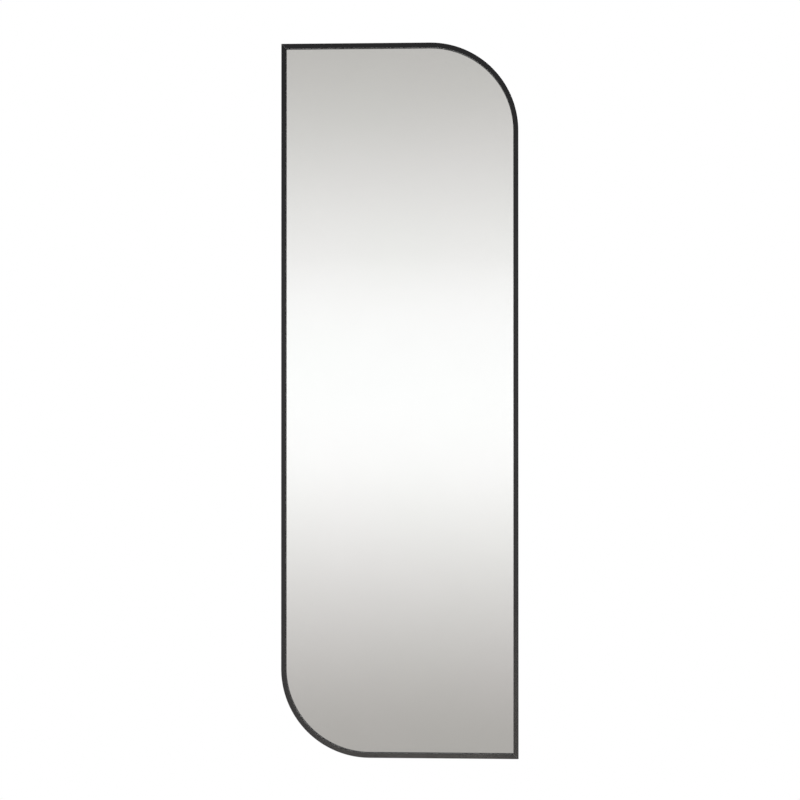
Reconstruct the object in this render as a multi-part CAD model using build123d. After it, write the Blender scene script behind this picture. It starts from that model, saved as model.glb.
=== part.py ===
from build123d import *
import os

# Tall wall mirror in a thin metal frame, rounded at its top right and bottom left corners.
#
# The frame is two rails of one bent section. The upper rail runs along the top, round the top right
# corner and down the right side. The lower rail is the same piece turned half a turn. They meet in
# two mitres, top left and bottom right, each tied by a flat brace screwed on from behind.
#
# Behind the rails' lip sit the silvered glass with its safety film, strips of foam and the backing
# board. Sprung clips between the board and the rails' inner flange push them forward. Two straps,
# each with a swinging D ring, are screwed to the flange, inside the depth of the frame.
#
# All sizes are in millimetres. Pieces are drawn with the mirror lying on its back: X to the right,
# Y up the mirror, and Z from the wall towards the viewer. The finished pieces are then stood up.

# Overall size, and the outer radius of the two rounded corners
width = 405.0
height = 1220.0
depth = 25.0
corner_radius = 151.0

# Section of the rails: side wall, lip in front of the glass, flange behind the board, rear heel
wall = 1.5
lip_width = 8.5
lip_thickness = 1.5
lip_depth = 3.0
lip_bead_width = 1.5
front_edge_chamfer = 0.6
lip_edge_chamfer = 0.4
flange_reach = 20.0
flange_thickness = 1.5
flange_setback = 8.0
flange_bead_width = 2.0
flange_bead_height = 1.0
heel_width = 3.0
heel_height = 2.0
heel_taper = 1.5
mitre_gap = 0.1

# Pane, film, foam and board, from the front to the back
glass_thickness = 4.0
glass_edge_gap = 2.0
glass_corner_radius = 2.0
glass_edge_chamfer = 0.5
film_thickness = 0.2
film_margin = 1.0
foam_thickness = 2.0
board_thickness = 3.0
board_edge_gap = 1.0
board_corner_radius = 3.0

# Foam strips, upright between the film and the board
foam_strip_width = 20.0
foam_strip_count = 3
foam_side_margin = 60.0
foam_end_margin = 110.0

# Soft blocks that keep the glass edge off the side walls
block_length = 25.0
block_pitch = 430.0
block_end_margin = 70.0

# Sprung clips between the board and the flange
clip_length = 45.0
clip_thickness = 0.5
clip_wall_gap = 2.5
clip_grip = 3.5
clip_pitch = 300.0
clip_end_margin = 60.0
clip_screw_gap = 2.0

# Pan head screws of the braces and the hangers
screw_radius = 1.5
screw_length = 5.0
screw_head_radius = 2.8
screw_head_height = 2.2
rail_hole_clearance = 0.05
plate_hole_clearance = 0.2

# Flat brace behind each mitre
brace_leg = 40.0
brace_width = 14.0
brace_thickness = 1.5
brace_heel_gap = 0.2
brace_corner_radius = 2.0
brace_screw_distance = 27.0

# Strap hangers and their D rings
hanger_drop = 250.0
hanger_inset = 12.5
ring_wire_radius = 1.2
ring_half_width = 7.3
ring_bend_radius = 2.0
ring_arm = 2.0
ring_flat_count = 12
strap_thickness = 1.0
strap_side_gap = 0.3
strap_lift = 0.25
strap_ramp = 3.0
strap_slit = 0.3
strap_tail = 5.0
strap_tail_radius = 4.0
strap_screw_gap = 1.0
strap_screw_pitch = 9.0
eye_clearance = 0.08

# Levels above the wall, and places that several pieces share
glass_front = depth - lip_depth
glass_back = glass_front - glass_thickness
film_back = glass_back - film_thickness
board_front = film_back - foam_thickness
board_back = board_front - board_thickness
flange_back = flange_setback
flange_front = flange_setback + flange_thickness
half_width = width / 2
half_height = height / 2
arc_x = half_width - corner_radius
arc_y = half_height - corner_radius
half_turn = Rot(0, 0, 180)

# The four straight runs: the place on the run's outer edge at a station along it, with X inwards
# and Y along the run, and the stations where the run starts and ends
runs = {
    "left": (lambda station: Pos(-half_width, station), -arc_y, half_height),
    "right": (lambda station: Pos(half_width, station) * Rot(0, 0, 180), -half_height, arc_y),
    "top": (lambda station: Pos(station, half_height) * Rot(0, 0, -90), -half_width, arc_x),
    "bottom": (lambda station: Pos(station, -half_height) * Rot(0, 0, 90), -arc_x, half_width),
}


def rail_section():
    """The section of the rails: X inwards from the outer side, Y forwards from the wall."""
    heel_top = heel_height + heel_taper
    bead_start = flange_reach - flange_bead_width
    bead_back = flange_back - flange_bead_height
    lip_back = depth - lip_thickness
    lip_bead_start = lip_width - lip_bead_width
    outline = Polyline(
        (0, 0),
        (heel_width, 0),
        (heel_width, heel_height),
        (wall, heel_top),
        (wall, flange_back),
        (bead_start, flange_back),
        (bead_start, bead_back),
        (flange_reach, bead_back),
        (flange_reach, flange_front),
        (wall, flange_front),
        (wall, lip_back),
        (lip_bead_start, lip_back),
        (lip_bead_start, glass_front),
        (lip_width, glass_front),
        (lip_width, depth),
        (0, depth),
        close=True,
    )
    section = make_face(outline)
    outer_edge = section.vertices().group_by(Axis.Y)[-1].sort_by(Axis.X)[0]
    section = chamfer(outer_edge, front_edge_chamfer)
    inner_edge = section.vertices().group_by(Axis.Y)[-1].sort_by(Axis.X)[-1]
    return chamfer(inner_edge, lip_edge_chamfer)


def mitred_rail():
    """The upper rail: top run, rounded corner and right run, cut to a mitre at both ends."""
    section = rail_section()
    top_end = Plane(origin=(arc_x, half_height, 0), x_dir=(0, -1, 0), z_dir=(-1, 0, 0))
    side_end = Plane(origin=(half_width, -half_height, 0), x_dir=(-1, 0, 0), z_dir=(0, 1, 0))
    top_run = extrude(top_end * section, amount=width - corner_radius)
    side_run = extrude(side_end * section, amount=height - corner_radius)
    corner = revolve(top_end * section, axis=Axis((arc_x, arc_y, 0), (0, 0, -1)), revolution_arc=90)
    across = Vector(1, 1, 0).normalized()
    half_gap = across * (mitre_gap / 2)
    top_left_mitre = Plane(origin=Vector(-half_width, half_height, 0) + half_gap, z_dir=across)
    bottom_right_mitre = Plane(origin=Vector(half_width, -half_height, 0) + half_gap, z_dir=across)
    top_run = split(top_run, bisect_by=top_left_mitre, keep=Keep.TOP)
    side_run = split(side_run, bisect_by=bottom_right_mitre, keep=Keep.TOP)
    return top_run + corner + side_run


def panel(inset, square_radius, back, thickness):
    """A flat panel of the mirror's outline, inset all round, from a level forwards."""
    face = Rectangle(width - 2 * inset, height - 2 * inset)
    rounded = face.vertices().filter_by(lambda corner: corner.X * corner.Y > 0)
    square = face.vertices().filter_by(lambda corner: corner.X * corner.Y < 0)
    face = fillet(square, square_radius)
    far_corners = face.vertices().sort_by_distance((0, 0, 0))[-len(rounded) :]
    return extrude(Pos(0, 0, back) * fillet(far_corners, corner_radius - inset), amount=thickness)


def even_stations(run, pitch, margin):
    """Stations along a straight run, evenly spread between margins and about a pitch apart."""
    start, end = runs[run][1:]
    length = end - start - 2 * margin
    gaps = max(1, round(length / pitch))
    return [start + margin + length * i / gaps for i in range(gaps + 1)]


def brace_screw_places():
    """Screw places of the top left brace, one on each leg."""
    centre_line = heel_width + brace_heel_gap + brace_width / 2
    top_leg = Pos(-half_width + brace_screw_distance, half_height - centre_line, flange_back)
    left_leg = Pos(-half_width + centre_line, half_height - brace_screw_distance, flange_back)
    return [top_leg, left_leg]


def hanger_places():
    """Where the two hangers' eyes sit on the rear of the flange, left and right."""
    x = half_width - hanger_inset
    y = half_height - hanger_drop
    return {"left": Pos(-x, y, flange_back), "right": Pos(x, y, flange_back)}


def eye_level():
    """How far a ring's axis stands behind the flange."""
    return strap_lift + strap_thickness + eye_clearance + ring_wire_radius


def strap_screw_distances():
    """How far below the eye a strap's two screws are, clear of the hanging ring."""
    ring_reach = ring_bend_radius + ring_arm + ring_half_width + ring_wire_radius
    first = ring_reach + strap_screw_gap + screw_head_radius
    return [first, first + strap_screw_pitch]


def pan_screw(plate_thickness):
    """A screw through a plate behind the flange, from the flange's rear face at level 0."""
    head = extrude(Circle(screw_head_radius), amount=-screw_head_height)
    shank = extrude(Circle(screw_radius), amount=screw_length)
    return Pos(0, 0, -plate_thickness) * (head + shank)


def corner_brace():
    """The flat L of the top left corner, on the rear face of the flange."""
    outer = heel_width + brace_heel_gap
    inner = outer + brace_width
    outline = Polyline(
        (outer, -outer),
        (brace_leg, -outer),
        (brace_leg, -inner),
        (inner, -inner),
        (inner, -brace_leg),
        (outer, -brace_leg),
        close=True,
    )
    face = make_face(outline)
    face = fillet(face.vertices(), brace_corner_radius)
    brace = Pos(-half_width, half_height, flange_back) * extrude(face, amount=-brace_thickness)
    for place in brace_screw_places():
        brace -= place * Cylinder(screw_radius + plate_hole_clearance, 4 * brace_thickness)
    return brace


def strap():
    """A hanger strap, screwed flat to the flange at level 0, its upper end rolled into an eye."""
    inner_radius = ring_wire_radius + eye_clearance
    outer_radius = inner_radius + strap_thickness
    end = strap_screw_distances()[-1] + strap_tail
    plate = [(0, -strap_lift), (-strap_ramp, 0), (-end, 0)]
    plate_back = [(y, z - strap_thickness) for y, z in reversed(plate)]
    slit_back = [(y, z - strap_slit) for y, z in plate_back]
    plate_face = make_face(Polyline(*plate, *plate_back, close=True))
    open_side = make_face(Polyline((0, 0), (-end, 0), *slit_back, close=True))
    eye = Pos(0, -eye_level()) * (Circle(outer_radius) - Circle(inner_radius))
    profile = plate_face + (eye - open_side)
    strap_width = 2 * (ring_half_width - ring_bend_radius - strap_side_gap)
    body = extrude(Plane.YZ * profile, amount=strap_width / 2, both=True)
    body = fillet(body.edges().filter_by(Axis.Z).group_by(Axis.Y)[0], strap_tail_radius)
    for distance in strap_screw_distances():
        body -= Pos(0, -distance) * Cylinder(screw_radius + plate_hole_clearance, 4 * strap_thickness)
    return body


def d_ring():
    """A ring of bent wire hanging flat over the strap: round bar in the eye, flats round its bends."""
    bar_end = ring_half_width - ring_bend_radius
    arm_end = ring_bend_radius + ring_arm
    right_bend = CenterArc((bar_end, -ring_bend_radius), ring_bend_radius, 90, -90)
    right_arm = Line((ring_half_width, -ring_bend_radius), (ring_half_width, -arm_end))
    bow = CenterArc((0, -arm_end), ring_half_width, 0, -180)
    left_arm = Line((-ring_half_width, -arm_end), (-ring_half_width, -ring_bend_radius))
    left_bend = CenterArc((-bar_end, -ring_bend_radius), ring_bend_radius, 180, -90)
    path = Wire([part.edge() for part in (right_bend, right_arm, bow, left_arm, left_bend)])
    flats = RegularPolygon(ring_wire_radius, ring_flat_count)
    bent_wire = sweep(Plane(origin=right_bend @ 0, z_dir=right_bend % 0) * flats, path=path)
    bar = extrude(Plane.YZ * Circle(ring_wire_radius), amount=bar_end, both=True)
    return Pos(0, 0, -eye_level()) * (bar + bent_wire)


def sprung_clip():
    """A bowed strip along its run: both ends on the board, its middle pressed by the flange."""
    end_level = board_back - clip_thickness / 2
    middle_level = flange_front + clip_thickness / 2
    bow = ThreePointArc((-clip_length / 2, end_level), (0, middle_level), (clip_length / 2, end_level))
    strip = Plane.YZ * trace(bow, line_width=clip_thickness)
    return Pos(wall + clip_wall_gap) * extrude(strip, amount=flange_reach + clip_grip - wall - clip_wall_gap)


def sprung_clips(run, screw_places):
    """The clips along one straight run, without any that would meet a screw through the flange."""
    place = runs[run][0]
    reach = clip_length / 2 + screw_radius + clip_screw_gap
    clips = []
    for station in even_stations(run, clip_pitch, clip_end_margin):
        spots = [(place(station).inverse() * spot).position for spot in screw_places]
        if all(abs(spot.Y) > reach or spot.X > flange_reach for spot in spots):
            clips.append(place(station) * sprung_clip())
    return clips


def edge_blocks(run):
    """Soft blocks between the glass edge and the side wall, along one straight run."""
    block = Box(glass_edge_gap, block_length, glass_thickness, align=(Align.MIN, Align.CENTER, Align.MIN))
    seat = Pos(wall, 0, glass_back) * block
    return [runs[run][0](station) * seat for station in even_stations(run, block_pitch, block_end_margin)]


def foam_strips():
    """Upright strips of foam, evenly spread over the width."""
    length = height - 2 * foam_end_margin
    outermost = half_width - foam_side_margin - foam_strip_width / 2
    strip = Box(foam_strip_width, length, foam_thickness, align=(Align.CENTER, Align.CENTER, Align.MIN))
    step = 2 * outermost / (foam_strip_count - 1)
    return [Pos(i * step - outermost, 0, board_front) * strip for i in range(foam_strip_count)]


# Places of the screws, and the rails with a hole for every one of them
hangers = hanger_places()
brace_screws = brace_screw_places()
brace_screws += [half_turn * place for place in brace_screws]
hanger_screws = [place * Pos(0, -down) for place in hangers.values() for down in strap_screw_distances()]
upper_rail = mitred_rail()
lower_rail = half_turn * upper_rail
for place in brace_screws + hanger_screws:
    hole = place * Cylinder(screw_radius + rail_hole_clearance, 4 * flange_thickness)
    upper_rail -= hole
    lower_rail -= hole

# Pane and backing
glass_inset = wall + glass_edge_gap
glass = panel(glass_inset, glass_corner_radius, glass_back, glass_thickness)
glass = chamfer(glass.faces().sort_by(Axis.Z)[-1].edges(), glass_edge_chamfer)
film = panel(glass_inset + film_margin, glass_corner_radius, film_back, film_thickness)
board = panel(wall + board_edge_gap, board_corner_radius, board_back, board_thickness)

nodes = {
    "upper_rail": [upper_rail],
    "lower_rail": [lower_rail],
    "mirror_glass": [glass],
    "safety_film": [film],
    "foam_strips": foam_strips(),
    "backing_board": [board],
    "top_left_brace": [corner_brace()],
    "bottom_right_brace": [half_turn * corner_brace()],
    "brace_screws": [place * pan_screw(brace_thickness) for place in brace_screws],
    "hanger_screws": [place * pan_screw(strap_thickness) for place in hanger_screws],
}
for run in runs:
    nodes[run + "_edge_blocks"] = edge_blocks(run)
    nodes[run + "_spring_clips"] = sprung_clips(run, brace_screws + hanger_screws)
for side, place in hangers.items():
    nodes[side + "_hanger_strap"] = [place * strap()]
    nodes[side + "_hanger_ring"] = [place * d_ring()]

# Stand the mirror up: Z up, its back on the wall at Y 0, its face towards -Y
os.makedirs("parts", exist_ok=True)
for name, solids in nodes.items():
    standing = [Plane.XZ.location * solid for solid in solids]
    shape = standing[0] if len(standing) == 1 else Compound(children=standing)
    export_step(shape, "parts/" + name + ".step")
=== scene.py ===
import math

import bmesh
import bpy
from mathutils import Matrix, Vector


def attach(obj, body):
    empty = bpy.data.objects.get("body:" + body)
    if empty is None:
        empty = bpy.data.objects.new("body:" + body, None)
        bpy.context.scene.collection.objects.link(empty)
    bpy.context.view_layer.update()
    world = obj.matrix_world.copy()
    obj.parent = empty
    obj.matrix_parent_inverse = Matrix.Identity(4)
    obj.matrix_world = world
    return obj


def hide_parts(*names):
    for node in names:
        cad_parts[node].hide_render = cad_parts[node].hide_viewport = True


# A tall wall mirror, in metres: X to the right, Y into the wall, Z up, and the origin at the middle of
# its outline on the wall. Levels below are depths in front of the wall, so a level of 25 mm is at
# Y -0.025. Sizes of the mirror are written in millimetres and multiplied by mm.
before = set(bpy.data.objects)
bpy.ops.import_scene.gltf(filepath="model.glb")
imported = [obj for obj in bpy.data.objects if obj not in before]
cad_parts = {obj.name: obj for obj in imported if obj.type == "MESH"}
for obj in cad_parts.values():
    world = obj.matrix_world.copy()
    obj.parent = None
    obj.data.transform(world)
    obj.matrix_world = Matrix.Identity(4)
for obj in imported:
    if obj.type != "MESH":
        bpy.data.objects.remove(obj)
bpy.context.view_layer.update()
mm = 0.001

# ---- Frame rails ----
# Two bent lengths of one extruded aluminium section, powder coated satin black. The upper one runs
# along the top, round the top right corner and down the right side; the lower one is the same length
# turned half a turn, and they meet in a mitre at the top left and the bottom right.
half_width = 202.5 * mm
half_height = 610 * mm
corner_radius = 151 * mm
arc_x = half_width - corner_radius
arc_z = half_height - corner_radius
arc_steps = 72
outer_round = 1.3 * mm
lip_round = 0.8 * mm
broken_edge = 0.2 * mm
mitre_gap = 0.05 * mm
mitre_edge = 0.15 * mm

# Points within the first length of a place are taken to lie there; the second is the same for levels
# and for doubles
near = 0.01 * mm
touching = 0.001 * mm

# The section, as (distance in from the outer side, level), in millimetres: the rim on the wall, the side
# wall, the rear flange with its turned edge, and the face with the lip that holds the glass
rail_depth = 25
face_width = 8.5
wall = 1.5
rim_width = 3
rim_level = 2
flange_level = 8
flange_end = 20
turned_width = 2
turned_height = 1
lip_level = 22
rail_section = [
    (0, 0),
    (rim_width, 0),
    (rim_width, rim_level),
    (wall, rim_level + rim_width - wall),
    (wall, flange_level),
    (flange_end - turned_width, flange_level),
    (flange_end - turned_width, flange_level - turned_height),
    (flange_end, flange_level - turned_height),
    (flange_end, flange_level + wall),
    (wall, flange_level + wall),
    (wall, rail_depth - wall),
    (face_width - wall, rail_depth - wall),
    (face_width - wall, lip_level),
    (face_width, lip_level),
    (face_width, rail_depth),
    (0, rail_depth),
]


def draw_outline(name, points, fill=True):
    """A new piece, left in edit mode: its outline drawn from point to point, and filled."""
    bpy.ops.object.select_all(action="DESELECT")
    bpy.ops.mesh.primitive_plane_add(size=mm, location=points[0])
    piece = bpy.context.object
    bpy.ops.object.transform_apply(location=True, rotation=True, scale=True)
    piece.name = piece.data.name = name
    bpy.ops.object.mode_set(mode="EDIT")
    bpy.ops.mesh.select_mode(type="VERT")
    bpy.ops.mesh.merge(type="CENTER")
    for start, end in zip(points, points[1:]):
        draw_to(Vector(end) - Vector(start))
    bpy.ops.mesh.select_all(action="SELECT")
    if fill:
        bpy.ops.mesh.edge_face_add()
    return piece


def draw_to(step):
    """Extrudes what is selected by a step."""
    bpy.ops.mesh.extrude_region_move(TRANSFORM_OT_translate={"value": step})


def pick(piece, part, wanted):
    """Selects the vertices, edges or faces of the piece being edited that the test wants."""
    shape = bmesh.from_edit_mesh(piece.data)
    bpy.ops.mesh.select_all(action="DESELECT")
    bpy.ops.mesh.select_mode(type={"verts": "VERT", "edges": "EDGE", "faces": "FACE"}[part])
    for element in getattr(shape, part):
        if wanted(element):
            element.select_set(True)
    shape.select_flush_mode()
    bmesh.update_edit_mesh(piece.data)


def round_corners(piece, places, radius, segments):
    """Rounds the corners of a flat outline that lie at the given places."""
    pick(piece, "verts", lambda v: any((v.co - Vector(place)).length < near for place in places))
    bpy.ops.mesh.bevel(offset=radius, segments=segments, affect="VERTICES")
    bpy.ops.mesh.select_all(action="SELECT")


def close_piece(piece, smooth_below=30):
    """Merges doubles, turns every face outwards and shades the piece smooth up to an angle."""
    bpy.ops.mesh.select_all(action="SELECT")
    bpy.ops.mesh.remove_doubles(threshold=touching)
    bpy.ops.mesh.normals_make_consistent(inside=False)
    if bmesh.from_edit_mesh(piece.data).calc_volume(signed=True) < 0:
        bpy.ops.mesh.flip_normals()
    bpy.ops.object.mode_set(mode="OBJECT")
    shade(piece, smooth_below)


def choose(*pieces):
    """Selects these pieces alone, the first of them active."""
    bpy.ops.object.select_all(action="DESELECT")
    for piece in pieces:
        piece.select_set(True)
    bpy.context.view_layer.objects.active = pieces[0]


def shade(piece, smooth_below=30):
    """Shades a piece smooth up to an angle, with its large faces kept flat."""
    choose(piece)
    bpy.ops.object.shade_smooth_by_angle(angle=math.radians(smooth_below))
    apply_modifier(piece, "WEIGHTED_NORMAL", keep_sharp=True)


def apply_modifier(piece, kind, **settings):
    """Adds a modifier with its settings and applies it."""
    choose(piece)
    modifier = piece.modifiers.new(kind, kind)
    for name, value in settings.items():
        setattr(modifier, name, value)
    bpy.ops.object.modifier_apply(modifier=modifier.name)


def copy_piece(piece, name, turn=0, shift=(0, 0, 0)):
    """A copy with its own mesh, turned in degrees clockwise as seen from the front, then shifted."""
    choose(piece)
    bpy.ops.object.duplicate(linked=False)
    twin = bpy.context.object
    twin.name = twin.data.name = name
    bpy.ops.transform.rotate(value=-math.radians(turn), orient_axis="Y", center_override=(0, 0, 0))
    bpy.ops.transform.translate(value=shift)
    bpy.ops.object.transform_apply(location=True, rotation=True, scale=True)
    return twin


def at_top_end(inwards, level):
    """A point of the section at the left end of the top run."""
    return (-half_width, -level * mm, half_height - inwards * mm)


upper_rail = draw_outline("upper_rail_coated", [at_top_end(*point) for point in rail_section])
rim_and_edges = [at_top_end(*rail_section[i]) for i in (0, 1, 6, 7, 8, 12, 13)]
round_corners(upper_rail, [at_top_end(0, rail_depth)], outer_round, 8)
round_corners(upper_rail, [at_top_end(face_width, rail_depth)], lip_round, 5)
round_corners(upper_rail, rim_and_edges, broken_edge, 2)
draw_to((arc_x + half_width, 0, 0))
bpy.ops.mesh.spin(steps=arc_steps, angle=math.radians(90), center=(arc_x, 0, arc_z), axis=(0, -1, 0))
draw_to((0, 0, -arc_z - half_height))

# Each end is cut on the diagonal through its square corner. The cut face is inset, and the inset part
# moved out to the joint, which leaves a fine broken edge all round it.
diagonal = Vector((1, 0, 1)).normalized()
mitres = [
    (Vector((-half_width, 0, half_height)), lambda f: f.calc_center_median().x < arc_x - mm),
    (Vector((half_width, 0, -half_height)), lambda f: f.calc_center_median().z < arc_z - mm),
]
for corner, on_its_run in mitres:
    pick(upper_rail, "faces", on_its_run)
    cut = corner + diagonal * (mitre_gap + mitre_edge)
    bpy.ops.mesh.bisect(plane_co=cut, plane_no=diagonal, use_fill=True, clear_inner=True)
    pick(upper_rail, "faces", lambda f: abs((f.calc_center_median() - cut).dot(diagonal)) < touching)
    bpy.ops.mesh.inset(thickness=mitre_edge)
    bpy.ops.transform.translate(value=-diagonal * mitre_edge)
close_piece(upper_rail)
lower_rail = copy_piece(upper_rail, "lower_rail_coated", turn=180)


def linear(colour):
    """A colour written as an sRGB hex value, in linear light with its alpha."""
    channels = [int(colour[i : i + 2], 16) / 255 for i in (1, 3, 5)]
    return (*[c / 12.92 if c <= 0.04045 else ((c + 0.055) / 1.055) ** 2.4 for c in channels], 1)


def new_finish(name):
    """An empty node material for one finish."""
    finish = bpy.data.materials.new(name)
    finish.use_nodes = True
    finish.node_tree.nodes.clear()
    return finish


def add_node(finish, kind, inputs=(), **settings):
    """Adds a node, sets it, and gives each input its value or links it to another node's output."""
    node = finish.node_tree.nodes.new(kind)
    for name, value in settings.items():
        setattr(node, name, value)
    for socket, value in dict(inputs).items():
        if isinstance(value, bpy.types.NodeSocket):
            finish.node_tree.links.new(value, node.inputs[socket])
        else:
            node.inputs[socket].default_value = value
    return node


def coat(finish, *pieces):
    """Gives pieces their one finish."""
    for piece in pieces:
        piece.data.materials.clear()
        piece.data.materials.append(finish)


# Satin polyester powder coat on aluminium: near black, with the fine orange peel that a cured powder
# leaves every millimetre or so. It gives the eye a soft, slightly uneven sheen and no mirror image.
powder = new_finish("satin_black_powder_coat")
place = add_node(powder, "ShaderNodeTexCoord").outputs["Object"]
peel = add_node(powder, "ShaderNodeTexNoise", {"Vector": place, "Scale": 1 / (1.3 * mm), "Detail": 3})
cloud = add_node(powder, "ShaderNodeTexNoise", {"Vector": place, "Scale": 1 / (45 * mm), "Detail": 2})
tone = add_node(
    powder,
    "ShaderNodeMix",
    {0: cloud.outputs[0], 6: linear("#141417"), 7: linear("#1A1A1E")},
    data_type="RGBA",
)
gloss = add_node(powder, "ShaderNodeMapRange", {0: peel.outputs[0], 3: 0.22, 4: 0.28})
relief = add_node(
    powder, "ShaderNodeBump", {"Height": peel.outputs[0], "Strength": 0.08, "Distance": 0.02 * mm}
)
surface = add_node(
    powder,
    "ShaderNodeBsdfPrincipled",
    {
        "Base Color": tone.outputs[2],
        "Roughness": gloss.outputs[0],
        "Normal": relief.outputs[0],
        "Specular IOR Level": 0.37,
    },
)
add_node(powder, "ShaderNodeOutputMaterial", {"Surface": surface.outputs[0]})
coat(powder, upper_rail, lower_rail)

# Bare sawn aluminium where the coated section was cut to its mitres and the saw's burr broken off: a
# hair-thin lighter line across each joint, matted by saw marks of about 0.4 mm.
sawn = new_finish("sawn_aluminium")
place = add_node(sawn, "ShaderNodeTexCoord").outputs["Object"]
marks = add_node(sawn, "ShaderNodeTexNoise", {"Vector": place, "Scale": 1 / (0.4 * mm), "Detail": 2})
tone = add_node(
    sawn,
    "ShaderNodeMix",
    {0: marks.outputs[0], 6: linear("#B9BABB"), 7: linear("#D0D1D2")},
    data_type="RGBA",
)
gloss = add_node(sawn, "ShaderNodeMapRange", {0: marks.outputs[0], 3: 0.35, 4: 0.55})
surface = add_node(
    sawn,
    "ShaderNodeBsdfPrincipled",
    {"Base Color": tone.outputs[2], "Metallic": 1, "Roughness": gloss.outputs[0]},
)
add_node(sawn, "ShaderNodeOutputMaterial", {"Surface": surface.outputs[0]})
mitre_plane = mitres[0][0].dot(diagonal)
for rail in (upper_rail, lower_rail):
    rail.data.materials.append(sawn)
    from_joint = [abs(abs(vertex.co.dot(diagonal)) - mitre_plane) for vertex in rail.data.vertices]
    for face in rail.data.polygons:
        if all(from_joint[corner] < mitre_gap + mitre_edge + near for corner in face.vertices):
            face.material_index = 1
for rail, node in ((upper_rail, "upper_rail"), (lower_rail, "lower_rail")):
    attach(rail, "frame")
    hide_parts(node)

# ---- Mirror pane ----
# One pane of 4 mm float glass, cut to the frame's outline and silvered on its back. The eye sees the
# silver through the glass, so the lip of the frame shows again, dimmed, as a fine dark line inside it.
glass_inset = 3.5 * mm
pane_front = -lip_level * mm
silver_front = -18.08 * mm
silver_back = -18 * mm
silver_gap = 0.02 * mm
silver_inset = 0.4 * mm
pane_corner = 2 * mm
pane_arris = 0.5 * mm
pane_half_width = half_width - glass_inset
pane_half_height = half_height - glass_inset


def panel_outline(name, level_y, inset):
    """A flat outline of the mirror's shape at a depth, inset from the pane's edge."""
    across, up = pane_half_width - inset, pane_half_height - inset
    corners = [(x, level_y, z) for x, z in ((-across, up), (across, up), (across, -up), (-across, -up))]
    panel = draw_outline(name, corners)
    round_corners(panel, [corners[1], corners[3]], corner_radius - glass_inset - inset, arc_steps)
    round_corners(panel, [corners[0], corners[2]], pane_corner, 6)
    return panel


pane = panel_outline("glass_pane", silver_front - silver_gap, 0)
draw_to((0, pane_front - silver_front + silver_gap, 0))
pick(pane, "edges", lambda e: all(abs(v.co.y - pane_front) < touching for v in e.verts))
bpy.ops.mesh.bevel(offset=pane_arris, segments=2, affect="EDGES")
close_piece(pane)
silver = panel_outline("silvering", silver_front, silver_inset)
draw_to((0, silver_back - silver_front, 0))
close_piece(silver)

# Clear float glass, fire polished, so it is perfectly smooth. Its iron gives the faintest green, which
# varies slowly over the sheet and is too weak to notice in 4 mm.
glass = new_finish("clear_float_glass")
place = add_node(glass, "ShaderNodeTexCoord").outputs["Object"]
wave = add_node(glass, "ShaderNodeTexNoise", {"Vector": place, "Scale": 1 / (180 * mm), "Detail": 0})
iron = add_node(
    glass,
    "ShaderNodeMix",
    {0: wave.outputs[0], 6: linear("#FEFFFE"), 7: linear("#FFFFFF")},
    data_type="RGBA",
)
surface = add_node(
    glass,
    "ShaderNodeBsdfPrincipled",
    {"Base Color": iron.outputs[2], "Roughness": 0, "IOR": 1.52, "Transmission Weight": 1},
)
add_node(glass, "ShaderNodeOutputMaterial", {"Surface": surface.outputs[0]})
coat(glass, pane)

# Chemically deposited silver under the glass: an almost lossless, neutral mirror, with a haze too weak
# to see except as the softness of a lamp's edge in it.
silvering = new_finish("silvered_mirror_coat")
place = add_node(silvering, "ShaderNodeTexCoord").outputs["Object"]
haze = add_node(silvering, "ShaderNodeTexNoise", {"Vector": place, "Scale": 1 / (70 * mm), "Detail": 4})
tone = add_node(
    silvering,
    "ShaderNodeMix",
    {0: haze.outputs[0], 6: linear("#FAFAFA"), 7: linear("#FCFCFC")},
    data_type="RGBA",
)
gloss = add_node(silvering, "ShaderNodeMapRange", {0: haze.outputs[0], 3: 0.0, 4: 0.02})
surface = add_node(
    silvering,
    "ShaderNodeBsdfPrincipled",
    {"Base Color": tone.outputs[2], "Metallic": 1, "Roughness": gloss.outputs[0]},
)
add_node(silvering, "ShaderNodeOutputMaterial", {"Surface": surface.outputs[0]})
coat(silvering, silver)
for sheet in (pane, silver):
    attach(sheet, "frame")
    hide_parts("mirror_glass")

# ---- Safety film ----
# A polyethylene film glued over the back of the silver, so that a broken pane holds together. It is
# milky, with the crossed ribs of its scrim 19 mm apart.
# A wave texture turns by 20 radians in its own unit, so this scale gives a radian every 3 mm
rib_scale = 1 / (20 * 3 * mm)
film = new_finish("polyethylene_safety_film")
place = add_node(film, "ShaderNodeTexCoord").outputs["Object"]
ribs = [
    add_node(
        film,
        "ShaderNodeTexWave",
        {"Vector": place, "Scale": rib_scale, "Distortion": 0.4},
        bands_direction=direction,
        wave_profile="SIN",
    )
    for direction in ("X", "Z")
]
scrim = add_node(
    film, "ShaderNodeMath", {0: ribs[0].outputs[1], 1: ribs[1].outputs[1]}, operation="MAXIMUM"
)
tone = add_node(
    film,
    "ShaderNodeMix",
    {0: scrim.outputs[0], 6: linear("#B9C2C6"), 7: linear("#D3DADC")},
    data_type="RGBA",
)
relief = add_node(
    film, "ShaderNodeBump", {"Height": scrim.outputs[0], "Strength": 0.4, "Distance": 0.05 * mm}
)
gloss = add_node(film, "ShaderNodeMapRange", {0: scrim.outputs[0], 3: 0.4, 4: 0.28})
surface = add_node(
    film,
    "ShaderNodeBsdfPrincipled",
    {
        "Base Color": tone.outputs[2],
        "Roughness": gloss.outputs[0],
        "Normal": relief.outputs[0],
        "IOR": 1.51,
    },
)
add_node(film, "ShaderNodeOutputMaterial", {"Surface": surface.outputs[0]})
coat(film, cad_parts["safety_film"])

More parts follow.
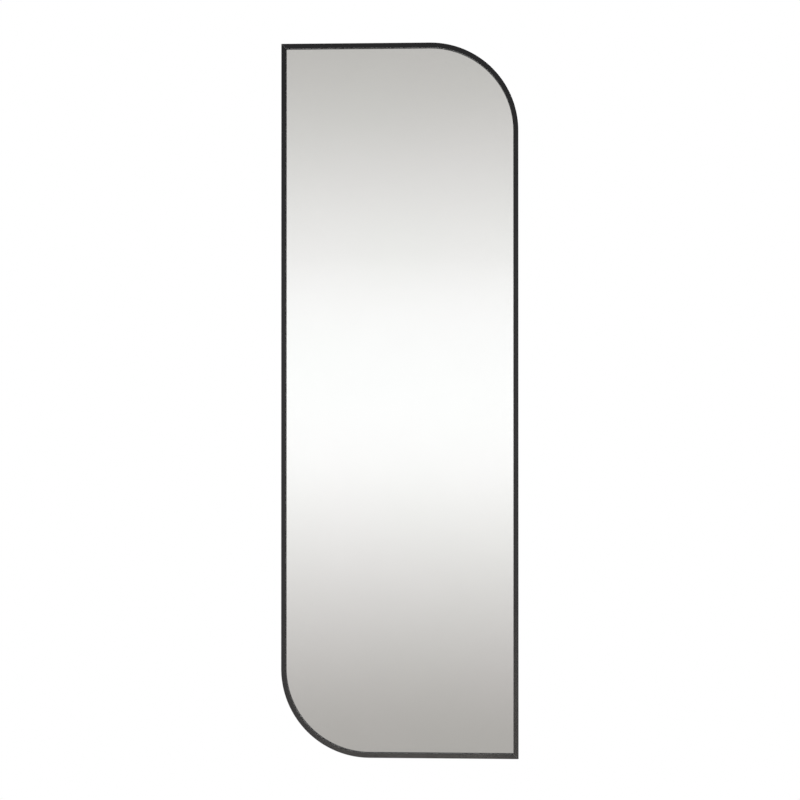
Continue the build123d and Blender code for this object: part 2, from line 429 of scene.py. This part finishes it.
# ---- Edge blocks ----
# Small blocks of black EPDM rubber between the edge of the glass and the side walls. They centre the
# pane and keep glass off metal. Cut from sheet, so they are matt with a fine open grain.
rubber = new_finish("black_epdm_rubber")
place = add_node(rubber, "ShaderNodeTexCoord").outputs["Object"]
grain = add_node(rubber, "ShaderNodeTexNoise", {"Vector": place, "Scale": 1 / (0.6 * mm), "Detail": 4})
tone = add_node(
    rubber,
    "ShaderNodeMix",
    {0: grain.outputs[0], 6: linear("#1D1D1D"), 7: linear("#313030")},
    data_type="RGBA",
)
relief = add_node(
    rubber, "ShaderNodeBump", {"Height": grain.outputs[0], "Strength": 0.5, "Distance": 0.05 * mm}
)
gloss = add_node(rubber, "ShaderNodeMapRange", {0: grain.outputs[0], 3: 0.75, 4: 0.92})
surface = add_node(
    rubber,
    "ShaderNodeBsdfPrincipled",
    {"Base Color": tone.outputs[2], "Roughness": gloss.outputs[0], "Normal": relief.outputs[0]},
)
add_node(rubber, "ShaderNodeOutputMaterial", {"Surface": surface.outputs[0]})
runs = ("left", "right", "top", "bottom")
coat(rubber, *[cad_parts[run + "_edge_blocks"] for run in runs])

# ---- Foam strips ----
# Three upright strips of closed-cell polyethylene foam, slit from sheet. The board presses them against
# the film, so they take up the play between the two and their cut edges round over.
strip_width = 20 * mm
strip_length = 1000 * mm
foam_front = -17.8 * mm
foam_back = -15.8 * mm
strip_pitch = 132.5 * mm
strip_round = 0.7 * mm
left_foam = draw_outline(
    "left_foam_strip",
    [
        (-strip_pitch - strip_width / 2, foam_back, -strip_length / 2),
        (-strip_pitch + strip_width / 2, foam_back, -strip_length / 2),
        (-strip_pitch + strip_width / 2, foam_back, strip_length / 2),
        (-strip_pitch - strip_width / 2, foam_back, strip_length / 2),
    ],
)
draw_to((0, foam_front - foam_back, 0))
bpy.ops.mesh.select_all(action="SELECT")
bpy.ops.mesh.bevel(offset=strip_round, segments=5, affect="EDGES")
close_piece(left_foam, smooth_below=50)
foam_strips = [
    left_foam,
    copy_piece(left_foam, "middle_foam_strip", shift=(strip_pitch, 0, 0)),
    copy_piece(left_foam, "right_foam_strip", shift=(2 * strip_pitch, 0, 0)),
]

# Closed-cell polyethylene foam: off-white and dull, pitted by its cells, which are 0.8 mm across and let
# a little light in.
foam = new_finish("closed_cell_foam")
place = add_node(foam, "ShaderNodeTexCoord").outputs["Object"]
cells = add_node(foam, "ShaderNodeTexVoronoi", {"Vector": place, "Scale": 1 / (0.8 * mm)})
tone = add_node(
    foam,
    "ShaderNodeMix",
    {0: cells.outputs[0], 6: linear("#E2E2DF"), 7: linear("#F3F3F1")},
    data_type="RGBA",
)
relief = add_node(
    foam, "ShaderNodeBump", {"Height": cells.outputs[0], "Strength": 0.5, "Distance": 0.1 * mm}
)
gloss = add_node(foam, "ShaderNodeMapRange", {0: cells.outputs[0], 3: 0.7, 4: 0.85})
surface = add_node(
    foam,
    "ShaderNodeBsdfPrincipled",
    {
        "Base Color": tone.outputs[2],
        "Roughness": gloss.outputs[0],
        "Normal": relief.outputs[0],
        "Subsurface Weight": 0.1,
    },
)
add_node(foam, "ShaderNodeOutputMaterial", {"Surface": surface.outputs[0]})
coat(foam, *foam_strips)
for strip in foam_strips:
    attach(strip, "frame")
    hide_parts("foam_strips")

# ---- Backing board ----
# A 3 mm hardboard panel with the frame's outline, its smooth side to the rear. Wet-formed from wood
# fibre and pressed hot: brown, with darker and paler fibres a few millimetres long lying every way.
fibre_length = 5 * mm
fibre_slimness = 7
hardboard = new_finish("hardboard")
place = add_node(hardboard, "ShaderNodeTexCoord").outputs["Object"]
lengths = [
    add_node(
        hardboard,
        "ShaderNodeMapping",
        {"Vector": place, "Rotation": (0, math.radians(turn), 0), "Scale": (1, 1, 1 / fibre_slimness)},
        vector_type="TEXTURE",
    )
    for turn in (0, 55, 118)
]
fibres = [
    add_node(
        hardboard,
        "ShaderNodeTexNoise",
        {"Vector": way.outputs[0], "Scale": 1 / fibre_length, "Detail": 2},
    )
    for way in lengths
]
crossed = add_node(
    hardboard, "ShaderNodeMath", {0: fibres[0].outputs[0], 1: fibres[1].outputs[0]}, operation="MAXIMUM"
)
mat = add_node(
    hardboard, "ShaderNodeMath", {0: crossed.outputs[0], 1: fibres[2].outputs[0]}, operation="MAXIMUM"
)
stain = add_node(hardboard, "ShaderNodeTexNoise", {"Vector": place, "Scale": 1 / (90 * mm), "Detail": 5})
fibre_share = add_node(hardboard, "ShaderNodeMapRange", {0: mat.outputs[0], 1: 0.5, 2: 0.75})
tone = add_node(
    hardboard,
    "ShaderNodeMix",
    {0: fibre_share.outputs[0], 6: linear("#6E4F36"), 7: linear("#8A6748")},
    data_type="RGBA",
)
stained = add_node(
    hardboard,
    "ShaderNodeMix",
    {0: stain.outputs[0], 6: tone.outputs[2], 7: linear("#7A5A3F")},
    data_type="RGBA",
)
relief = add_node(
    hardboard, "ShaderNodeBump", {"Height": mat.outputs[0], "Strength": 0.3, "Distance": 0.05 * mm}
)
gloss = add_node(hardboard, "ShaderNodeMapRange", {0: fibre_share.outputs[0], 3: 0.62, 4: 0.5})
surface = add_node(
    hardboard,
    "ShaderNodeBsdfPrincipled",
    {"Base Color": stained.outputs[2], "Roughness": gloss.outputs[0], "Normal": relief.outputs[0]},
)
add_node(hardboard, "ShaderNodeOutputMaterial", {"Surface": surface.outputs[0]})
coat(hardboard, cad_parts["backing_board"])

# ---- Bowed clips ----
# Strips of spring steel, bowed along their length. Each is slid in behind the flange and pushes the
# board, foam and glass forward; its inner edge stands out so that it can be gripped and pulled.
clip_outer = 4 * mm
clip_inner = 23.5 * mm
clip_half_length = 22.5 * mm
clip_steel = 0.5 * mm
bow_ends = -12.55 * mm
bow_middle = -9.75 * mm
bow_height = bow_middle - bow_ends
bow_radius = (clip_half_length**2 + bow_height**2) / (2 * bow_height)
bow_angle = 2 * math.asin(clip_half_length / bow_radius)
clip_corner = 2.5 * mm
clip_edge = 0.1 * mm
first_left = -399 * mm
clip_step = 949 / 3 * mm
clip = draw_outline(
    "left_clips",
    [
        (-half_width + clip_outer, bow_ends, first_left - clip_half_length),
        (-half_width + clip_inner, bow_ends, first_left - clip_half_length),
    ],
    fill=False,
)
bow_centre = (0, bow_middle - bow_radius, first_left)
bpy.ops.mesh.spin(steps=24, angle=bow_angle, center=bow_centre, axis=(-1, 0, 0))
clip_corners = [
    (x, bow_ends, first_left + end)
    for x in (-half_width + clip_outer, -half_width + clip_inner)
    for end in (-clip_half_length, clip_half_length)
]
round_corners(clip, clip_corners, clip_corner, 4)
close_piece(clip)


def ease_edges(piece, width, segments):
    """Rounds the sharp edges of a piece and shades it."""
    sharp = math.radians(50)
    apply_modifier(
        piece, "BEVEL", width=width, segments=segments, limit_method="ANGLE", angle_limit=sharp
    )
    shade(piece)


apply_modifier(clip, "SOLIDIFY", thickness=clip_steel, offset=0)
ease_edges(clip, clip_edge, 2)
more_clips = [copy_piece(clip, "left_clips_more", shift=(0, 0, i * clip_step)) for i in (1, 2, 3)]


def join_pieces(first, *others):
    """Joins pieces into the first."""
    choose(first, *others)
    bpy.ops.object.join()
    return first


# The top run has two clips: the left run's first one, turned a quarter turn and set at each place
first_top = -142.5 * mm
second_top = -8.5 * mm
to_top_run = half_height - half_width
top_clips = join_pieces(
    copy_piece(clip, "top_clips", turn=90, shift=(first_top - first_left, 0, to_top_run)),
    copy_piece(clip, "top_clips_more", turn=90, shift=(second_top - first_left, 0, to_top_run)),
)
left_clips = join_pieces(clip, *more_clips)
right_clips = copy_piece(left_clips, "right_clips", turn=180)
bottom_clips = copy_piece(top_clips, "bottom_clips", turn=180)

# Tempered spring steel strip: its rolled skin is mottled, drawn as coarse as 1.2 mm so that it shows,
# and its temper colour wanders between straw grey and blue.
spring_steel = new_finish("tempered_spring_steel")
place = add_node(spring_steel, "ShaderNodeTexCoord").outputs["Object"]
rolled = add_node(
    spring_steel, "ShaderNodeTexNoise", {"Vector": place, "Scale": 1 / (1.2 * mm), "Detail": 4}
)
temper = add_node(
    spring_steel, "ShaderNodeTexNoise", {"Vector": place, "Scale": 1 / (18 * mm), "Detail": 2}
)
tone = add_node(
    spring_steel,
    "ShaderNodeMix",
    {0: temper.outputs[0], 6: linear("#6F7782"), 7: linear("#A39F95")},
    data_type="RGBA",
)
gloss = add_node(spring_steel, "ShaderNodeMapRange", {0: rolled.outputs[0], 3: 0.24, 4: 0.42})
relief = add_node(
    spring_steel, "ShaderNodeBump", {"Height": rolled.outputs[0], "Strength": 0.2, "Distance": 0.02 * mm}
)
surface = add_node(
    spring_steel,
    "ShaderNodeBsdfPrincipled",
    {
        "Base Color": tone.outputs[2],
        "Metallic": 1,
        "Roughness": gloss.outputs[0],
        "Normal": relief.outputs[0],
    },
)
add_node(spring_steel, "ShaderNodeOutputMaterial", {"Surface": surface.outputs[0]})
coat(spring_steel, left_clips, right_clips, top_clips, bottom_clips)
for run, clips in zip(runs, (left_clips, right_clips, top_clips, bottom_clips)):
    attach(clips, "frame")
    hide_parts(run + "_spring_clips")

# ---- Corner braces ----
# A flat L of 1.5 mm steel behind each mitre, punched from sheet and zinc plated. Its corners and edges
# are eased by the punching and tumbling, and it is screwed to the flanges of both rails.
brace_outer = 3.2 * mm
brace_inner = 17.2 * mm
brace_leg = 40 * mm
brace_front = -flange_level * mm
brace_back = -6.5 * mm
brace_corner = 2 * mm
brace_edge = 0.2 * mm


def at_top_left(across, down, y):
    """A point a distance in from the top left corner."""
    return (-half_width + across, y, half_height - down)


brace_corners = [
    at_top_left(*corner, brace_back)
    for corner in (
        (brace_outer, brace_outer),
        (brace_leg, brace_outer),
        (brace_leg, brace_inner),
        (brace_inner, brace_inner),
        (brace_inner, brace_leg),
        (brace_outer, brace_leg),
    )
]
top_left_plate = draw_outline("top_left_plate", brace_corners)
round_corners(top_left_plate, brace_corners, brace_corner, 6)
draw_to((0, brace_front - brace_back, 0))
close_piece(top_left_plate)
ease_edges(top_left_plate, brace_edge, 3)
bottom_right_plate = copy_piece(top_left_plate, "bottom_right_plate", turn=180)

# Bright zinc plate over rolled steel sheet: a cool grey metal, blotched by the faint crystal pattern of
# the plating at 4 mm and scuffed by tumbling in fine marks under a millimetre.
zinc = new_finish("bright_zinc_plate")
place = add_node(zinc, "ShaderNodeTexCoord").outputs["Object"]
crystals = add_node(zinc, "ShaderNodeTexVoronoi", {"Vector": place, "Scale": 1 / (4 * mm)})
scuffs = add_node(zinc, "ShaderNodeTexNoise", {"Vector": place, "Scale": 1 / (0.7 * mm), "Detail": 5})
patch = add_node(zinc, "ShaderNodeSeparateColor", {"Color": crystals.outputs["Color"]})
tone = add_node(
    zinc,
    "ShaderNodeMix",
    {0: patch.outputs[0], 6: linear("#B4B8BD"), 7: linear("#C1C5C9")},
    data_type="RGBA",
)
gloss = add_node(zinc, "ShaderNodeMapRange", {0: scuffs.outputs[0], 3: 0.26, 4: 0.5})
relief = add_node(
    zinc, "ShaderNodeBump", {"Height": scuffs.outputs[0], "Strength": 0.25, "Distance": 0.02 * mm}
)
surface = add_node(
    zinc,
    "ShaderNodeBsdfPrincipled",
    {
        "Base Color": tone.outputs[2],
        "Metallic": 1,
        "Roughness": gloss.outputs[0],
        "Normal": relief.outputs[0],
    },
)
add_node(zinc, "ShaderNodeOutputMaterial", {"Surface": surface.outputs[0]})
coat(zinc, top_left_plate, bottom_right_plate)
for plate, node in ((top_left_plate, "top_left_brace"), (bottom_right_plate, "bottom_right_brace")):
    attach(plate, "frame")
    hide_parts(node)

# ---- Hanger straps ----
# Two 10 mm steel straps, nickel plated, flat on the flange. The upper end of each is rolled back into an
# eye round the ring's bar, and its lower end is rounded off.
hanger_x = 190 * mm
eye_y = -5.47 * mm
eye_z = 360 * mm
strap_half_width = 5 * mm
strap_steel = 1 * mm
strap_flat_y = -7.5 * mm
strap_eye_radius = 1.78 * mm
strap_end = 30.3 * mm
strap_ramp = 3 * mm
strap_wrap = 290
strap_tail_round = 4 * mm
strap_edge = 0.15 * mm
tail = [(-hanger_x + side * strap_half_width, strap_flat_y, eye_z - strap_end) for side in (-1, 1)]
left_strap = draw_outline("left_strap", tail, fill=False)
draw_to((0, 0, strap_end - strap_ramp))
draw_to((0, eye_y - strap_eye_radius - strap_flat_y, strap_ramp))
eye_centre = (-hanger_x, eye_y, eye_z)
bpy.ops.mesh.spin(steps=28, angle=math.radians(strap_wrap), center=eye_centre, axis=(-1, 0, 0))
round_corners(left_strap, tail, strap_tail_round, 8)
close_piece(left_strap)
apply_modifier(left_strap, "SOLIDIFY", thickness=strap_steel, offset=0)
ease_edges(left_strap, strap_edge, 3)
right_strap = copy_piece(left_strap, "right_strap", shift=(2 * hanger_x, 0, 0))

# ---- Wire rings ----
# A D ring of 2.4 mm wire in each eye: a straight bar, two tight bends, short arms and a round bow, bent
# from one length. Its ends would meet out of sight in the eye, so the wire is drawn without a joint.
wire_radius = 1.2 * mm
bar_half_length = 5.3 * mm
bend_radius = 2 * mm
arm = 2 * mm
bpy.ops.object.select_all(action="DESELECT")
bpy.ops.mesh.primitive_circle_add(
    vertices=20,
    radius=wire_radius,
    fill_type="NGON",
    location=(-hanger_x - bar_half_length, eye_y, eye_z),
    rotation=(0, math.radians(90), 0),
)
left_ring = bpy.context.object
left_ring.name = left_ring.data.name = "left_wire_ring"
bpy.ops.object.transform_apply(location=True, rotation=True, scale=True)
bpy.ops.object.mode_set(mode="EDIT")
bpy.ops.mesh.select_all(action="SELECT")
draw_to((2 * bar_half_length, 0, 0))
bends = [
    (14, 90, (bar_half_length, -bend_radius), (0, 0, -arm)),
    (40, 180, (0, -bend_radius - arm), (0, 0, arm)),
    (14, 90, (-bar_half_length, -bend_radius), None),
]
for steps, turn, (x, z), straight in bends:
    centre = (-hanger_x + x, eye_y, eye_z + z)
    bpy.ops.mesh.spin(steps=steps, angle=math.radians(turn), center=centre, axis=(0, -1, 0))
    if straight:
        draw_to(straight)

# The wire has come round to its start, whose end face is taken out so that the two ends merge
start = Vector((-hanger_x - bar_half_length, eye_y, eye_z))
pick(left_ring, "faces", lambda f: (f.calc_center_median() - start).length < near)
bpy.ops.mesh.delete(type="FACE")
close_piece(left_ring, smooth_below=40)
right_ring = copy_piece(left_ring, "right_wire_ring", shift=(2 * hanger_x, 0, 0))

# Bright nickel plate: warmer than zinc and smoother, polished by tumbling, with only a breath of haze
# that comes and goes over some 3 mm.
nickel = new_finish("bright_nickel_plate")
place = add_node(nickel, "ShaderNodeTexCoord").outputs["Object"]
haze = add_node(nickel, "ShaderNodeTexNoise", {"Vector": place, "Scale": 1 / (3 * mm), "Detail": 4})
tone = add_node(
    nickel,
    "ShaderNodeMix",
    {0: haze.outputs[0], 6: linear("#BDB8AE"), 7: linear("#D2CDC4")},
    data_type="RGBA",
)
gloss = add_node(nickel, "ShaderNodeMapRange", {0: haze.outputs[0], 3: 0.12, 4: 0.3})
relief = add_node(
    nickel, "ShaderNodeBump", {"Height": haze.outputs[0], "Strength": 0.1, "Distance": 0.02 * mm}
)
surface = add_node(
    nickel,
    "ShaderNodeBsdfPrincipled",
    {
        "Base Color": tone.outputs[2],
        "Metallic": 1,
        "Roughness": gloss.outputs[0],
        "Normal": relief.outputs[0],
    },
)
add_node(nickel, "ShaderNodeOutputMaterial", {"Surface": surface.outputs[0]})
coat(nickel, left_strap, right_strap, left_ring, right_ring)
hangers = (
    (left_strap, "frame", "left_hanger_strap"),
    (right_strap, "frame", "right_hanger_strap"),
    (left_ring, "left_ring", "left_hanger_ring"),
    (right_ring, "right_ring", "right_hanger_ring"),
)
for hanger, body, node in hangers:
    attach(hanger, body)
    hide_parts(node)

# ---- Screws ----
# Short pan head screws with a cross recess, zinc plated, through the braces and the straps into the
# flange. Cold headed: a flat crown with a rolled shoulder, and a recess that tapers to its floor.
head_radius = 2.8 * mm
head_height = 2.2 * mm
shank_radius = 1.5 * mm
shank_length = 5 * mm
crown_round = 1.1 * mm
point_length = 0.4 * mm
recess_span = 3.1 * mm
recess_width = 0.75 * mm
recess_depth = 1.4 * mm
recess_taper = (0.35, 1, 0.6)
blade_height = 2.8 * mm


def screw(name, x, z, seat_y, recess_turn):
    """One screw whose head sits on a plate's rear face, its shank towards the front."""
    bpy.ops.object.select_all(action="DESELECT")
    bpy.ops.mesh.primitive_cylinder_add(
        vertices=40,
        radius=head_radius,
        depth=head_height,
        location=(0, head_height / 2, 0),
        rotation=(math.radians(90), 0, 0),
    )
    piece = bpy.context.object
    piece.name = piece.data.name = name
    bpy.ops.object.transform_apply(location=True, rotation=True, scale=True)
    bpy.ops.object.mode_set(mode="EDIT")
    crown = head_height - touching
    pick(piece, "edges", lambda e: all(v.co.y > crown for v in e.verts))
    bpy.ops.mesh.bevel(offset=crown_round, segments=6, affect="EDGES")
    pick(piece, "faces", lambda f: f.normal.y < -0.9)
    bpy.ops.mesh.inset(thickness=head_radius - shank_radius)
    draw_to((0, -shank_length + point_length, 0))
    bpy.ops.mesh.inset(thickness=point_length, depth=point_length)
    close_piece(piece)
    for turn in (0, 90):
        cutter = recess_blade(recess_turn + turn)
        apply_modifier(piece, "BOOLEAN", object=cutter, operation="DIFFERENCE", solver="EXACT")
        bpy.data.objects.remove(cutter)
    bpy.ops.object.mode_set(mode="EDIT")
    bpy.ops.mesh.select_all(action="SELECT")
    bpy.ops.transform.translate(value=(x, seat_y, z))
    close_piece(piece)
    return piece


def recess_blade(turn):
    """A wedge that cuts one slot of a cross recess, turned about the screw."""
    bpy.ops.object.select_all(action="DESELECT")
    bpy.ops.mesh.primitive_cube_add(size=1, location=(0, head_height, 0))
    blade = bpy.context.object
    bpy.ops.object.mode_set(mode="EDIT")
    bpy.ops.mesh.select_all(action="SELECT")
    size = (recess_span, blade_height, recess_width)
    bpy.ops.transform.resize(value=size, center_override=(0, head_height, 0))
    pick(blade, "faces", lambda f: f.normal.y < -0.9)
    recess_floor = (0, head_height - recess_depth, 0)
    bpy.ops.transform.resize(value=recess_taper, center_override=recess_floor)
    bpy.ops.mesh.select_all(action="SELECT")
    bpy.ops.transform.rotate(value=math.radians(turn), orient_axis="Y", center_override=(0, 0, 0))
    bpy.ops.mesh.normals_make_consistent(inside=False)
    bpy.ops.object.mode_set(mode="OBJECT")
    return blade


brace_middle = 10.2 * mm
brace_screw = 27 * mm
strap_screws = (16.3 * mm, 25.3 * mm)
strap_back = -7 * mm
brace_pair = join_pieces(
    screw("brace_screw_set", -half_width + brace_screw, half_height - brace_middle, brace_back, 20),
    screw("brace_screw_more", -half_width + brace_middle, half_height - brace_screw, brace_back, 67),
)
brace_screws = join_pieces(brace_pair, copy_piece(brace_pair, "brace_screw_far", turn=180))
hanger_screws = join_pieces(
    *[
        screw("hanger_screw_set", side * hanger_x, eye_z - down, strap_back, turn)
        for side, down, turn in (
            (-1, strap_screws[0], 8),
            (-1, strap_screws[1], 51),
            (1, strap_screws[0], 33),
            (1, strap_screws[1], 74),
        )
    ]
)
coat(zinc, brace_screws, hanger_screws)
for screws, node in ((brace_screws, "brace_screws"), (hanger_screws, "hanger_screws")):
    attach(screws, "frame")
    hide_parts(node)

# ---- Studio ----
# The mirror hangs in a white studio, clear of a pale floor. The lamps are wide and soft; the mirror sees
# a tall backdrop behind the camera, white at eye level and greyer above and below. Sizes are in metres.
floor_z = -1.6
floor_radius = 3.4
fade_start = 1.6
fade_end = 3.3
bpy.ops.object.select_all(action="DESELECT")
bpy.ops.mesh.primitive_circle_add(
    vertices=96, radius=floor_radius, fill_type="NGON", location=(0, 0, floor_z)
)
floor = bpy.context.object
floor.name = "studio_floor"
floor.visible_glossy = False
floor.visible_transmission = False

# A matt floor that the camera sees fade to the white around it, so that it has no edge
floor_paint = new_finish("pale_studio_floor")
place = add_node(floor_paint, "ShaderNodeTexCoord").outputs["Object"]
from_middle = add_node(floor_paint, "ShaderNodeVectorMath", {0: place}, operation="LENGTH")
fade = add_node(
    floor_paint, "ShaderNodeMapRange", {0: from_middle.outputs[1], 1: fade_start, 2: fade_end}
)
rays = add_node(floor_paint, "ShaderNodeLightPath")
white_share = add_node(
    floor_paint,
    "ShaderNodeMath",
    {0: fade.outputs[0], 1: rays.outputs["Is Camera Ray"]},
    operation="MULTIPLY",
)
matt = add_node(floor_paint, "ShaderNodeBsdfDiffuse", {"Color": linear("#EDEDEB")})
white = add_node(floor_paint, "ShaderNodeEmission", {"Color": (1, 1, 1, 1), "Strength": 1})
blended = add_node(
    floor_paint, "ShaderNodeMixShader", {0: white_share.outputs[0], 1: matt.outputs[0], 2: white.outputs[0]}
)
add_node(floor_paint, "ShaderNodeOutputMaterial", {"Surface": blended.outputs[0]})
coat(floor_paint, floor)

# The backdrop behind the camera: the front of a globe round the mirror, seen only in reflections and
# through glass. It dims towards its sides: far round and strongly as seen through the pane, that is in
# the mirror, and sooner but less as seen in the other pieces.
backdrop_radius = 4
backdrop_end = 1.6
bpy.ops.object.select_all(action="DESELECT")
bpy.ops.mesh.primitive_uv_sphere_add(segments=96, ring_count=64, radius=backdrop_radius)
backdrop = bpy.context.object
backdrop.name = "studio_backdrop"
bpy.ops.object.mode_set(mode="EDIT")
pick(backdrop, "faces", lambda f: f.calc_center_median().y > backdrop_end)
bpy.ops.mesh.delete(type="FACE")
bpy.ops.object.mode_set(mode="OBJECT")
bpy.ops.object.transform_apply(location=True, rotation=True, scale=True)
backdrop.visible_camera = False
backdrop.visible_diffuse = False
backdrop.visible_shadow = False
gradient = new_finish("graded_backdrop")
place = add_node(gradient, "ShaderNodeTexCoord").outputs["Object"]
spot = add_node(gradient, "ShaderNodeSeparateXYZ", {0: place})
share = add_node(
    gradient, "ShaderNodeMapRange", {0: spot.outputs[2], 1: -backdrop_radius, 2: backdrop_radius}
)
tones = add_node(gradient, "ShaderNodeValToRGB", {0: share.outputs[0]})
stops = [
    (-backdrop_radius, "#FFFFFF"),
    (-1.55, "#B5B3B0"),
    (-0.98, "#C6C3C1"),
    (-0.4, "#F3F2F1"),
    (0.1, "#FEFEFE"),
    (0.6, "#EDECEB"),
    (1.62, "#BBB9B6"),
    (backdrop_radius, "#FFFFFF"),
]
ramp = tones.color_ramp
ramp.interpolation = "CARDINAL"
for i, (z, colour) in enumerate(stops):
    at = (z + backdrop_radius) / (2 * backdrop_radius)
    stop = ramp.elements[i] if i < 2 else ramp.elements.new(at)
    stop.position = at
    stop.color = linear(colour)
in_mirror = add_node(
    gradient, "ShaderNodeMapRange", {0: spot.outputs[1], 1: -3.2, 2: 0.2, 3: 1.04, 4: 0.15}
)
on_coat = add_node(
    gradient, "ShaderNodeMapRange", {0: spot.outputs[1], 1: -3.78, 2: -3.0, 3: 1.04, 4: 0.65}
)
rays = add_node(gradient, "ShaderNodeLightPath")
aside = add_node(
    gradient,
    "ShaderNodeMix",
    {0: rays.outputs["Is Transmission Ray"], 2: on_coat.outputs[0], 3: in_mirror.outputs[0]},
)
glow = add_node(gradient, "ShaderNodeEmission", {"Color": tones.outputs[0], "Strength": aside.outputs[0]})
add_node(gradient, "ShaderNodeOutputMaterial", {"Surface": glow.outputs[0]})
coat(gradient, backdrop)

# A white world behind everything, which lights the object evenly and more weakly than it looks
world = bpy.data.worlds.new("white_studio")
bpy.context.scene.world = world
world.use_nodes = True
world.node_tree.nodes.clear()
rays = add_node(world, "ShaderNodeLightPath")
direct_or_glossy = add_node(
    world,
    "ShaderNodeMath",
    {0: rays.outputs["Is Camera Ray"], 1: rays.outputs["Is Glossy Ray"]},
    operation="MAXIMUM",
)
seen = add_node(
    world,
    "ShaderNodeMath",
    {0: direct_or_glossy.outputs[0], 1: rays.outputs["Is Transmission Ray"]},
    operation="MAXIMUM",
)
strength = add_node(world, "ShaderNodeMapRange", {0: seen.outputs[0], 3: 0.35, 4: 1})
air = add_node(world, "ShaderNodeBackground", {"Color": (1, 1, 1, 1), "Strength": strength.outputs[0]})
add_node(world, "ShaderNodeOutputWorld", {"Surface": air.outputs[0]})


def hang_lamp(name, place, target, size, power, colour=(1, 1, 1), in_mirrors=True):
    """A square soft lamp, aimed at a point."""
    lamp = bpy.data.lights.new(name, "AREA")
    lamp.shape = "SQUARE"
    lamp.size = size
    lamp.energy = power
    lamp.color = colour
    stand = bpy.data.objects.new(name, lamp)
    bpy.context.collection.objects.link(stand)
    stand.location = place
    stand.rotation_euler = (Vector(target) - Vector(place)).to_track_quat("-Z", "Y").to_euler()
    stand.visible_camera = False
    stand.visible_glossy = in_mirrors
    stand.visible_transmission = in_mirrors


# A main lamp high on the left, a small warm one close by that lifts the lower run of the frame, and one
# behind the mirror for the views of its back
warm = (1, 0.94, 0.74)
hang_lamp("front_high", (-1.4, -2.6, 2.2), (0, 0, 0), 1.6, 20, in_mirrors=False)
hang_lamp("low_front", (0.05, -0.38, -0.64), (0.05, 0, -0.54), 0.4, 8, colour=warm, in_mirrors=False)
hang_lamp("rear_high", (1.6, 2.4, 2.0), (0, 0, 0), 1.6, 60)

# The camera stands 2.9 m in front of the mirror, a little to the right of its middle, and looks back at
# it almost level. The angles are in degrees: up from level, and to the left.
camera_right = 0.1246
camera_distance = 2.890
camera_height = -0.0135
camera_tilt = 0.27
camera_turn = 2.45
camera = bpy.data.cameras.new("photo_camera")
camera.sensor_width = 36
camera.lens = 76.36
viewpoint = bpy.data.objects.new("photo_camera", camera)
bpy.context.collection.objects.link(viewpoint)
viewpoint.location = (camera_right, -rail_depth * mm - camera_distance, camera_height)
viewpoint.rotation_euler = (math.radians(90 + camera_tilt), 0, math.radians(camera_turn))
bpy.context.scene.camera = viewpoint
bpy.context.scene.view_settings.view_transform = "Standard"
